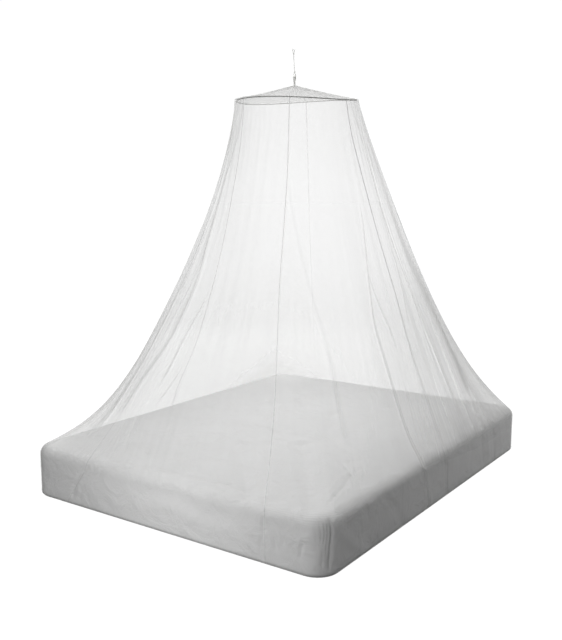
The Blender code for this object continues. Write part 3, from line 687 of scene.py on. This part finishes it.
def woven_tape(name, code, rib):
    """Woven polyester tape or braid: matt and faintly soft, with ribs at the yarn's own pitch."""
    made, tree = new_material(name)
    place = add_node(tree, "ShaderNodeTexCoord")
    ribs = add_node(tree, "ShaderNodeTexWave", bands_direction="Z", in_Vector=place.outputs["Object"],
                    in_Scale=WAVE_TEXTURE_PITCH / rib, in_Distortion=1.5, in_Detail=1.0)
    bump = add_node(tree, "ShaderNodeBump", in_Height=ribs.outputs["Fac"], in_Strength=0.3,
                    in_Distance=0.0003)
    shaded = (*[value * RIB_SHADE for value in linear(code)[:3]], 1.0)
    tint = add_node(tree, "ShaderNodeMix", data_type="RGBA", in_Factor=ribs.outputs["Fac"], in_6=shaded,
                    in_7=linear(code))
    surface = add_node(tree, "ShaderNodeBsdfPrincipled", in_Base_Color=tint.outputs[2],
                       in_Normal=bump.outputs[0], in_Roughness=0.8, in_Sheen_Weight=0.2)
    add_node(tree, "ShaderNodeOutputMaterial", in_Surface=surface.outputs[0])
    return made


def cotton_sheet(name, settings):
    """Plain-woven cotton of the mattress's fitted sheet: matt, faintly mottled, with soft small wrinkles."""
    made, tree = new_material(name)
    place = add_node(tree, "ShaderNodeTexCoord").outputs["Object"]
    mottle = add_node(tree, "ShaderNodeTexNoise", in_Vector=place, in_Scale=SHEET_MOTTLES, in_Detail=3.0,
                      in_Roughness=0.55)
    tint = add_node(tree, "ShaderNodeMix", data_type="RGBA", in_Factor=mottle.outputs["Fac"],
                    in_6=linear(settings.shade_colour), in_7=linear(settings.colour))
    wrinkles = add_node(tree, "ShaderNodeTexNoise", in_Vector=place, in_Scale=SHEET_WRINKLES, in_Detail=4.0,
                        in_Roughness=0.55, in_Distortion=0.6)
    weave = add_node(tree, "ShaderNodeTexNoise", in_Vector=place, in_Scale=SHEET_WEAVE)
    soft = add_node(tree, "ShaderNodeBump", in_Height=wrinkles.outputs["Fac"], in_Strength=0.8,
                    in_Distance=0.02)
    fine = add_node(tree, "ShaderNodeBump", in_Height=weave.outputs["Fac"], in_Normal=soft.outputs[0],
                    in_Strength=0.15, in_Distance=0.0006)
    surface = add_node(tree, "ShaderNodeBsdfPrincipled", in_Base_Color=tint.outputs[2],
                       in_Normal=fine.outputs[0], in_Roughness=0.9, in_Sheen_Weight=0.1,
                       in_Specular_IOR_Level=0.2)
    add_node(tree, "ShaderNodeOutputMaterial", in_Surface=surface.outputs[0])
    return made


def studio_paper(name, settings):
    """Pale seamless paper. It looks nearly white, and throws back less light than it shows."""
    made, tree = new_material(name)
    shown = add_node(tree, "ShaderNodeBsdfDiffuse", in_Color=linear(settings.floor_colour))
    lift = add_node(tree, "ShaderNodeEmission", in_Strength=settings.floor_lift)
    both = add_node(tree, "ShaderNodeAddShader", in_0=shown.outputs[0], in_1=lift.outputs[0])
    thrown = add_node(tree, "ShaderNodeBsdfDiffuse", in_Color=linear(settings.floor_throw))
    path = add_node(tree, "ShaderNodeLightPath")
    mix = add_node(tree, "ShaderNodeMixShader", in_0=path.outputs["Is Camera Ray"], in_1=thrown.outputs[0],
                   in_2=both.outputs[0])
    add_node(tree, "ShaderNodeOutputMaterial", in_Surface=mix.outputs[0])
    return made


# ---------------------------------------------------------------- settings


class NetSettings(bpy.types.PropertyGroup):
    """Sizes and finish of the sheer net."""

    thread_colour: StringProperty(name="Thread colour", description="sRGB colour of the threads",
                                  default="#d6d6d5")
    # Painted shade: the roof is the same net as the walls, with its threads painted greyer to stand in for
    # its shade
    roof_shaded_colour: StringProperty(name="Roof thread colour",
                                description="sRGB colour of the closer, greyer roof net", default="#cbcbca")
    cover: FloatProperty(name="Cover", description="Share of the cloth that threads cover", default=0.13,
                         min=0.02, max=0.9, subtype="FACTOR")
    seam_cover: FloatProperty(name="Seam cover", description="Share that threads cover in a sewn seam",
                              default=0.5, min=0.05, max=1.0, subtype="FACTOR")
    seam_width: FloatProperty(name="Seam width", description="Width of a felled seam", default=0.0045,
                              min=0.002, max=0.02, unit="LENGTH")
    channel_cover: FloatProperty(name="Channel cover",
                                 description="Share that threads cover in the hoop's channel", default=0.16,
                                 min=0.05, max=1.0, subtype="FACTOR")
    channel_height: FloatProperty(name="Channel height", description="Height of the hoop's channel",
                                  default=0.009, unit="LENGTH")
    pleat_depth: FloatProperty(name="Pleat depth", description="Depth of the pleats, as a share of the usual",
                               default=1.0, min=0.0, max=2.0, subtype="FACTOR")


class HoopSettings(bpy.types.PropertyGroup):
    """Sizes and finish of the hoop."""

    radius: FloatProperty(name="Radius", description="Radius of the hoop's centre line", default=HOOP_RADIUS,
                          unit="LENGTH")
    wire_radius: FloatProperty(name="Wire radius", description="Radius of the coated wire", default=0.0026,
                               unit="LENGTH")
    # Painted shade: the colour in front is the coat darkened to stand in for shade; the colour behind is the
    # coat's own
    colour: StringProperty(name="Colour", description="sRGB colour of the coat in front", default="#8a8a88")
    unshaded_colour: StringProperty(name="Unshaded colour", description="sRGB colour of the coat behind",
                                 default="#ededeb")


class CordSettings(bpy.types.PropertyGroup):
    """Sizes and finish of the strap loop and the hanging cord."""

    diameter: FloatProperty(name="Diameter", description="Diameter of the cord", default=0.003, unit="LENGTH")
    colour: StringProperty(name="Cord colour", description="sRGB colour of the cord", default="#f6f6f3")
    strap_colour: StringProperty(name="Strap colour", description="sRGB colour of the loop",
                                 default="#f2f2ef")


class MattressSettings(bpy.types.PropertyGroup):
    """Finish of the mattress and its fitted sheet."""

    colour: StringProperty(name="Colour", description="sRGB colour of the sheet", default="#dadada")
    shade_colour: StringProperty(name="Shade colour", description="sRGB colour of its mottling",
                                 default="#d2d2d2")
    columns: IntProperty(name="Columns", description="Cuts across the mattress", default=225, min=20, max=230)


class StudioSettings(bpy.types.PropertyGroup):
    """Light, floor and camera."""

    floor_colour: StringProperty(name="Floor colour", description="sRGB colour of the paper",
                                 default="#505050")
    floor_throw: StringProperty(name="Floor throw", description="sRGB grey of the light it throws back",
                                default="#8a8a8a")
    floor_lift: FloatProperty(name="Floor lift", description="Light added to the paper as seen", default=1.02)
    brightness: FloatProperty(name="Brightness", description="Power of the lamps, as a share of the usual",
                              default=1.0, min=0.0, max=4.0, subtype="FACTOR")
    sky: FloatProperty(name="Sky", description="Strength of the light from all round", default=0.03)


class BedNetSettings(bpy.types.PropertyGroup):
    """All the settings of the bed net."""

    net: PointerProperty(type=NetSettings)
    hoop: PointerProperty(type=HoopSettings)
    cord: PointerProperty(type=CordSettings)
    mattress: PointerProperty(type=MattressSettings)
    studio: PointerProperty(type=StudioSettings)


# ---------------------------------------------------------------- cloth by row and column


Grid = namedtuple("Grid", "points plain dense folded fall")


def panel_grid(panel, pleat_depth):
    """A wall panel: its points, the same unpleated, how dense and folded it is, and its fall lines."""
    rows = []
    for part, share, height in panel_rows():
        azimuth = azimuths_across(panel, height, PANEL_COLUMNS)
        points, plain, bunching = net_row(azimuth, part, share, height, pleat_depth)
        dense = (1 + BUNCHING_GAIN * bunching) * gathering(azimuth, height)
        fall = np.stack([azimuth, np.full_like(azimuth, height)], axis=1)
        rows.append((points, plain, dense, folded(azimuth, height), fall))
    return Grid(*[np.array(values) for values in zip(*rows)])


def even_grid(points, azimuth, density):
    """A grid without folds, of one density or one for each row, whose columns lie at the azimuths."""
    shape = points.shape[:2]
    down = np.linspace(0.0, EVEN_FALL, shape[0])[:, None]
    fall = np.stack([np.broadcast_to(azimuth, shape), np.broadcast_to(down, shape)], axis=2)
    return Grid(points, points, np.broadcast_to(density, shape), np.full(shape, LEAST_FOLDED), fall)


def seam_line(number, pleat_depth):
    """A seam's centre line, sideways directions and strength, from near the apex to under the mattress."""
    steps = range(ROOF_SEAM_START, ROOF_SEAM_STEPS + 1)
    rows = [("roof", step / ROOF_SEAM_STEPS, 0.0) for step in steps] + panel_rows()
    centre, aside, strength = [], [], []
    for part, share, height in rows:
        azimuth = azimuth_on(SEAMS[number], height)
        near = azimuth + SEAM_HALF_ANGLE * np.array([-1.0, 0.0, 1.0])
        if part == "roof":
            points = roof_point(near, share)
            out = np.array([0.0, 0.0, 1.0])
            strength.append(ROOF_SEAM_STRENGTHS[number])
        else:
            points = net_row(near, part, share, height, pleat_depth)[0]
            out = np.array([math.cos(azimuth), math.sin(azimuth), 0.0])
            strength.append(float(np.interp(height, SEAM_HEIGHTS, SEAM_STRENGTHS[number])))
        across = points[2] - points[0]
        aside.append(across / np.linalg.norm(across))
        centre.append(points[1] + out * SEAM_STAND_OFF)
    return np.array(centre), np.array(aside), np.array(strength)


def cloth_metres(plain):
    """Across and down the flat cloth, in metres, from the middle column."""
    steps = np.linalg.norm(np.diff(plain, axis=1), axis=2)
    across = np.concatenate([np.zeros((len(plain), 1)), np.cumsum(steps, axis=1)], axis=1)
    across -= across[:, across.shape[1] // 2][:, None]
    middle = plain[:, plain.shape[1] // 2]
    down = np.concatenate([[0.0], np.cumsum(np.linalg.norm(np.diff(middle, axis=0), axis=1))])
    return across, down


def cut_size(plain):
    """Width and length of the cloth's flat cut, and its area."""
    across, down = cloth_metres(plain)
    widths = across[:, -1] - across[:, 0]
    area = float(np.sum((widths[1:] + widths[:-1]) / 2 * np.diff(down)))
    return float(widths.max()), float(down[-1]), area


def add_cloth(name, grid, look):
    """A sheet of net from a flat grid, with each point moved to its place, and its maps and attributes."""
    rows, columns = grid.points.shape[0] - 1, grid.points.shape[1] - 1
    bm = bmesh.new()
    bmesh.ops.create_grid(bm, x_segments=columns, y_segments=rows, size=0.5)
    bm.verts.index_update()
    across, down = cloth_metres(grid.plain)
    cloth_map = bm.loops.layers.uv.new("cloth_metres")
    fall_map = bm.loops.layers.uv.new("fall_lines")
    bunching = bm.verts.layers.float.new("bunching")
    creased = bm.verts.layers.float.new("folded")
    spots = [(round((0.5 - vert.co.y) * rows), round((vert.co.x + 0.5) * columns)) for vert in bm.verts]
    for vert, spot in zip(bm.verts, spots):
        vert.co = grid.points[spot]
        vert[bunching] = grid.dense[spot]
        vert[creased] = grid.folded[spot]
    for face in bm.faces:
        for loop in face.loops:
            spot = spots[loop.vert.index]
            loop[cloth_map].uv = (across[spot], -down[spot[0]])
            loop[fall_map].uv = grid.fall[spot]
    return add_piece(name, finish_mesh(name, bm), look)


# ---------------------------------------------------------------- operators


class BEDNET_OT_add_walls(bpy.types.Operator):
    """Add the six wall panels, from the hoop over the mattress edge and under it"""

    bl_idname = "bednet.add_walls"
    bl_label = "Add Wall Panels"

    def execute(self, context):
        settings = context.scene.bed_net.net
        look = knitted_net("knitted_polyester_net", settings.thread_colour, settings.cover)
        for panel in range(len(SEAMS)):
            grid = panel_grid(panel, settings.pleat_depth)
            name = f"net_wall_{panel + 1}"
            made = add_cloth(name, grid, look)
            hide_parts(f"net_panel_{panel + 1}")
            width, length, area = cut_size(grid.plain)
            print(f"{name}: cut {width:.2f} x {length:.2f} m, {area:.2f} m2")
        return {"FINISHED"}


class BEDNET_OT_add_roof(bpy.types.Operator):
    """Add the six roof gores, from the apex to the hoop"""

    bl_idname = "bednet.add_roof"
    bl_label = "Add Roof Gores"

    def execute(self, context):
        settings = context.scene.bed_net.net
        # The roof's net is the walls' net with greyer threads as painted shade
        look = knitted_net("knitted_polyester_net_roof_shaded", settings.roof_shaded_colour, settings.cover)
        for gore in range(len(SEAMS)):
            azimuth = azimuths_across(gore, 0.0, PANEL_COLUMNS // 2)
            points = np.array([roof_point(azimuth, row / GORE_ROWS) for row in range(GORE_ROWS + 1)])
            name = f"net_roof_{gore + 1}"
            made = add_cloth(name, even_grid(points, azimuth, ROOF_GATHER), look)
            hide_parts(f"roof_gore_{gore + 1}")
            width, length, area = cut_size(points)
            print(f"{name}: cut {width:.2f} x {length:.2f} m, {area:.3f} m2")
        return {"FINISHED"}


class BEDNET_OT_add_seams(bpy.types.Operator):
    """Add the felled seams between gores and between panels, from near the apex to under the mattress"""

    bl_idname = "bednet.add_seams"
    bl_label = "Add Seams"

    def execute(self, context):
        settings = context.scene.bed_net.net
        look = knitted_net("felled_net_seam", settings.thread_colour, settings.seam_cover)
        side = np.linspace(-0.5, 0.5, 3)
        for number in range(len(SEAMS)):
            centre, aside, strength = seam_line(number, settings.pleat_depth)
            points = centre[:, None, :] + aside[:, None, :] * (side * settings.seam_width)[None, :, None]
            add_cloth(f"net_seam_{number + 1}", even_grid(points, side, strength[:, None]), look)
        return {"FINISHED"}


class BEDNET_OT_add_hoop_channel(bpy.types.Operator):
    """Add the tape that is sewn round inside the rim and holds the hoop against the net"""

    bl_idname = "bednet.add_hoop_channel"
    bl_label = "Add Hoop Channel"

    def execute(self, context):
        settings = context.scene.bed_net.net
        look = knitted_net("gathered_channel_tape", settings.thread_colour, settings.channel_cover)
        azimuth = np.linspace(0.0, math.tau, CHANNEL_STEPS + 1)
        radius = HOOP_RADIUS - CHANNEL_INSET + CHANNEL_RIPPLE_HEIGHT * np.sin(CHANNEL_RIPPLES * azimuth)
        rises = settings.channel_height * np.linspace(0.5, -0.5, CHANNEL_ROWS)
        points = np.array([ring(radius, azimuth, hoop_height(azimuth) + rise) for rise in rises])
        add_cloth("hoop_channel_tape", even_grid(points, azimuth, 1.0), look)
        return {"FINISHED"}


class BEDNET_OT_add_hoop(bpy.types.Operator):
    """Add the hoop, a coated springy ring that leans and warps a little"""

    bl_idname = "bednet.add_hoop"
    bl_label = "Add Hoop"

    def execute(self, context):
        settings = context.scene.bed_net.hoop
        bm = bmesh.new()
        section = bmesh.ops.create_circle(bm, segments=WIRE_SIDES, radius=settings.wire_radius)
        for vert in section["verts"]:
            vert.co = Vector((settings.radius + vert.co.x, 0.0, vert.co.y))
        bmesh.ops.spin(bm, geom=bm.verts[:] + bm.edges[:], cent=(0, 0, 0), axis=(0, 0, 1), angle=math.tau,
                       steps=HOOP_STEPS, use_merge=True)
        for vert in bm.verts:
            vert.co.z += float(hoop_height(np.array(math.atan2(vert.co.y, vert.co.x))))
        bmesh.ops.recalc_face_normals(bm, faces=bm.faces[:])
        # The hoop's coat carries painted shade along its front run
        look = coated_wire("coated_spring_wire", settings.colour, settings.unshaded_colour)
        made = add_piece("hoop_wire", finish_mesh("hoop_wire", bm), look)
        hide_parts("hoop")
        return {"FINISHED"}


def add_cord_run(name, points, radius, closed, look):
    """A run of round cord along the points."""
    data = bpy.data.curves.new(name, "CURVE")
    data.dimensions = "3D"
    data.bevel_depth = radius
    data.bevel_resolution = 4
    data.use_fill_caps = not closed
    spline = data.splines.new("POLY")
    spline.points.add(len(points) - 1)
    for spot, place in zip(spline.points, points):
        spot.co = (*place, 1.0)
    spline.use_cyclic_u = closed
    return add_piece(name, data, look)


def knot_points(centre):
    """An overhand knot, as a trefoil drawn tight that stands in the plane of its bight."""
    points = []
    for step in range(KNOT_STEPS):
        turn = math.tau * step / KNOT_STEPS
        out = (math.sin(turn) + 2 * math.sin(2 * turn)) / 3
        up = KNOT_HEIGHT * (math.cos(turn) - 2 * math.cos(2 * turn)) / 3
        along = -KNOT_DEPTH * math.sin(3 * turn)
        points.append(Vector(centre) + KNOT_RADIUS * Vector((out, along, up)))
    return points


class BEDNET_OT_add_cord(bpy.types.Operator):
    """Add the strap loop at the apex and the hanging cord with its two knots"""

    bl_idname = "bednet.add_cord"
    bl_label = "Add Loop and Cord"

    def execute(self, context):
        settings = context.scene.bed_net.cord
        strap = woven_tape("woven_polyester_tape", settings.strap_colour, TAPE_RIB)
        braid = woven_tape("braided_polyester_cord", settings.colour, BRAID_RIB)
        for name, look in (("hanging_loop", strap), ("cord_loop_bight", braid), ("cord_hook_bight", braid)):
            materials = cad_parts[name].data.materials
            materials.clear()
            materials.append(look)
        radius = settings.diameter / 2
        for name, centre in (("cord_loop_knot", LOOP_KNOT), ("cord_hook_knot", HOOK_KNOT)):
            knot = add_cord_run(f"{name}_braid", knot_points(centre), radius * KNOT_THINNING, True, braid)
            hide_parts(name)
        start, end = Vector(LOOP_KNOT), Vector(HOOK_KNOT)
        run = [start.lerp(end, step / CORD_STEPS) for step in range(CORD_STEPS + 1)]
        cord = add_cord_run("hanging_cord_braid", run, radius, False, braid)
        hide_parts("hanging_cord")
        return {"FINISHED"}


def crowded(value, crowding):
    """A share from -1 to 1, moved so that even steps lie closer at both ends."""
    return value * (1 - crowding) + crowding * math.sin(math.pi / 2 * value)


def rounded_corner(first, second):
    """A point of a square corner, by its distances past the corner's centre, moved onto the round corner."""
    reach = max(first, second)
    length = math.hypot(first, second)
    if length < TINY:
        return first, second
    return first * reach / length, second * reach / length


def rounded_mattress(point):
    """A point of the block, moved onto the mattress with its round corners and edges."""
    half_width, half_length = MATTRESS_WIDTH / 2, MATTRESS_LENGTH / 2
    radius = MATTRESS_CORNER_RADIUS
    core = Vector((min(max(point.x, radius - half_width), half_width - radius),
                   min(max(point.y, radius - half_length), half_length - radius)))
    over = Vector((abs(point.x - core.x), abs(point.y - core.y)))
    signs = Vector((math.copysign(1, point.x), math.copysign(1, point.y)))
    inset = min(half_width - abs(point.x), half_length - abs(point.y))
    if inset < radius:
        out = Vector(rounded_corner(over.x, over.y))
        direction = Vector((out.x * signs.x, out.y * signs.y)).normalized()
        base = core
    else:
        direction = Vector((0.0, 0.0))
        base = Vector((point.x, point.y))
    height = point.z
    edges = ((MATTRESS_TOP, MATTRESS_EDGE_RADIUS, 1), (MATTRESS_BOTTOM, MATTRESS_UNDER_RADIUS, -1))
    for level, edge, up in edges:
        drop = (level - height) * up
        if inset < edge and drop < edge:
            out, rise = rounded_corner(edge - inset, edge - drop)
            inset, height = edge - out, level - (edge - rise) * up
    if direction.length > 0:
        base = base + direction * (radius - inset)
    return Vector((base.x, base.y, height))


def distance_to_line(across, up, line):
    """Distances from points to the nearest part of a line."""
    nearest = np.full(across.shape, np.inf)
    for (x0, y0), (x1, y1) in zip(line, line[1:]):
        dx, dy = x1 - x0, y1 - y0
        along = np.clip(((across - x0) * dx + (up - y0) * dy) / (dx * dx + dy * dy), 0.0, 1.0)
        nearest = np.minimum(nearest, np.hypot(across - x0 - along * dx, up - y0 - along * dy))
    return nearest


def sheet_relief(places):
    """How far the fitted sheet is moved at each point of the mattress: a row of x, y and z for each."""
    x, y, z = places.T
    moved = np.zeros_like(places)
    radius = MATTRESS_CORNER_RADIUS
    middle_x, middle_y = MATTRESS_WIDTH / 2 - radius, radius - MATTRESS_LENGTH / 2
    angle = np.arctan2(y - middle_y, x - middle_x)
    beside = fade((MATTRESS_TOP - z) / CREASE_REACH)
    on_top = fade((z - MATTRESS_TOP + CREASE_REACH) / CREASE_REACH)
    on_foot = fade((-y - MATTRESS_LENGTH / 2 + CREASE_REACH) / CREASE_REACH)
    on_right = fade((x - MATTRESS_WIDTH / 2 + CREASE_REACH) / CREASE_REACH)
    on_corner = (x > middle_x - CORNER_OVERLAP) & (y < middle_y + CORNER_OVERLAP)
    faces = {
        "top": (x, y, on_top, np.array([0, 0, 1])),
        "foot": (x, z, beside * on_foot, np.array([0, -1, 0])),
        "right": (y, z, beside * on_right, np.array([1, 0, 0])),
        "corner": (angle * radius, z, beside * on_corner,
                   np.stack([np.cos(angle), np.sin(angle), np.zeros_like(angle)], axis=1)),
    }
    for face, creases in CREASES.items():
        across, up, share, out = faces[face]
        for crease in creases:
            line = crease.line
            if face == "corner":
                line = [(math.radians(turn) * radius, height) for turn, height in line]
            depth = crease.height * share * fade(1 - distance_to_line(across, up, line) / crease.half_width)
            moved += depth[:, None] * out
    swell = SWELL_HEIGHT * np.sin(9 * x + 4 * y) * np.sin(7 * y - 3 * x) - SWELL_SINK
    moved[:, 2] += swell * on_top
    return moved


class BEDNET_OT_add_mattress(bpy.types.Operator):
    """Add the mattress in its fitted sheet"""

    bl_idname = "bednet.add_mattress"
    bl_label = "Add Mattress"

    def execute(self, context):
        settings = context.scene.bed_net.mattress
        bm = bmesh.new()
        bmesh.ops.create_cube(bm, size=2.0)
        rows = round(settings.columns * MATTRESS_LENGTH / MATTRESS_WIDTH)
        for axis, cuts in enumerate((settings.columns, rows, MATTRESS_CUTS_HIGH)):
            along = [edge for edge in bm.edges if abs((edge.verts[0].co - edge.verts[1].co)[axis]) > SAME]
            bmesh.ops.subdivide_edges(bm, edges=along, cuts=cuts, use_grid_fill=True)
        middles = (0.0, 0.0, (MATTRESS_TOP + MATTRESS_BOTTOM) / 2)
        halves = (MATTRESS_WIDTH / 2, MATTRESS_LENGTH / 2, (MATTRESS_TOP - MATTRESS_BOTTOM) / 2)
        for vert in bm.verts:
            axes = zip(middles, halves, vert.co, MATTRESS_CROWDING)
            block = [middle + half * crowded(value, crowding) for middle, half, value, crowding in axes]
            vert.co = rounded_mattress(Vector(block))
        underneath = [face for face in bm.faces if face.calc_center_median().z < MATTRESS_BOTTOM + SAME]
        bmesh.ops.dissolve_faces(bm, faces=underneath)
        bm.verts.index_update()
        relief = sheet_relief(np.array([vert.co[:] for vert in bm.verts]))
        for vert, move in zip(bm.verts, relief):
            vert.co += Vector(move)
        bmesh.ops.recalc_face_normals(bm, faces=bm.faces[:])
        look = cotton_sheet("cotton_fitted_sheet", settings)
        made = add_piece("mattress_in_sheet", finish_mesh("mattress_in_sheet", bm), look)
        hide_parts("mattress")
        return {"FINISHED"}


class BEDNET_OT_add_studio(bpy.types.Operator):
    """Add the pale floor, the soft lights and the camera"""

    bl_idname = "bednet.add_studio"
    bl_label = "Add Studio"

    def execute(self, context):
        settings = context.scene.bed_net.studio
        scene = context.scene
        bm = bmesh.new()
        bmesh.ops.create_grid(bm, x_segments=8, y_segments=8, size=FLOOR_REACH)
        mesh = bpy.data.meshes.new("floor")
        bm.to_mesh(mesh)
        bm.free()
        mesh.materials.append(studio_paper("seamless_studio_paper", settings))
        floor = bpy.data.objects.new("floor", mesh)
        scene.collection.objects.link(floor)

        world = bpy.data.worlds.new("studio")
        scene.world = world
        world.use_nodes = True
        tree = world.node_tree
        tree.nodes.clear()
        path = add_node(tree, "ShaderNodeLightPath")
        seen = add_node(tree, "ShaderNodeBackground", in_Color=WHITE, in_Strength=settings.floor_lift)
        around = add_node(tree, "ShaderNodeBackground", in_Color=WHITE, in_Strength=settings.sky)
        mix = add_node(tree, "ShaderNodeMixShader", in_0=path.outputs["Is Camera Ray"],
                       in_1=around.outputs[0], in_2=seen.outputs[0])
        add_node(tree, "ShaderNodeOutputWorld", in_Surface=mix.outputs[0])

        for row in LAMPS:
            light = bpy.data.lights.new(row.name, "AREA")
            light.energy = row.power * settings.brightness
            light.size = row.size
            lamp = bpy.data.objects.new(row.name, light)
            lamp.location = row.place
            lamp.rotation_euler = (LAMP_TARGET - Vector(row.place)).to_track_quat("-Z", "Y").to_euler()
            lamp.visible_camera = False
            scene.collection.objects.link(lamp)

        eye = bpy.data.cameras.new("camera")
        eye.lens = CAMERA_LENS
        eye.sensor_width = CAMERA_SENSOR
        camera = bpy.data.objects.new("camera", eye)
        camera.location = CAMERA_PLACE
        camera.rotation_euler = [math.radians(turn) for turn in CAMERA_TURN]
        scene.collection.objects.link(camera)
        scene.camera = camera
        scene.view_settings.view_transform = "Standard"
        scene.cycles.transparent_max_bounces = NET_LAYERS
        return {"FINISHED"}


class BEDNET_PT_sidebar(bpy.types.Panel):
    """Lists the settings and the pieces"""

    bl_idname = "BEDNET_PT_sidebar"
    bl_label = "Bed Net"
    bl_space_type = "VIEW_3D"
    bl_region_type = "UI"
    bl_category = "Bed Net"

    def draw(self, context):
        layout = self.layout
        settings = context.scene.bed_net
        for group in ("net", "hoop", "cord", "mattress", "studio"):
            box = layout.box()
            part = getattr(settings, group)
            box.label(text=group.capitalize())
            for name in part.__annotations__:
                box.prop(part, name)
        for operator in OPERATORS:
            layout.operator(operator.bl_idname)


GROUPS = (NetSettings, HoopSettings, CordSettings, MattressSettings, StudioSettings, BedNetSettings)
OPERATORS = (
    BEDNET_OT_add_studio,
    BEDNET_OT_add_cord,
    BEDNET_OT_add_mattress,
    BEDNET_OT_add_hoop,
    BEDNET_OT_add_hoop_channel,
    BEDNET_OT_add_seams,
    BEDNET_OT_add_walls,
    BEDNET_OT_add_roof,
)


def register():
    for cls in (*GROUPS, *OPERATORS, BEDNET_PT_sidebar):
        bpy.utils.register_class(cls)
    bpy.types.Scene.bed_net = PointerProperty(type=BedNetSettings)


def unregister():
    del bpy.types.Scene.bed_net
    for cls in reversed((*GROUPS, *OPERATORS, BEDNET_PT_sidebar)):
        bpy.utils.unregister_class(cls)


def main():
    register()
    bpy.ops.bednet.add_studio()
    bpy.ops.bednet.add_cord()
    bpy.ops.bednet.add_mattress()
    bpy.ops.bednet.add_hoop()
    bpy.ops.bednet.add_hoop_channel()
    bpy.ops.bednet.add_seams()
    bpy.ops.bednet.add_walls()
    bpy.ops.bednet.add_roof()


if __name__ == "__main__":
    main()
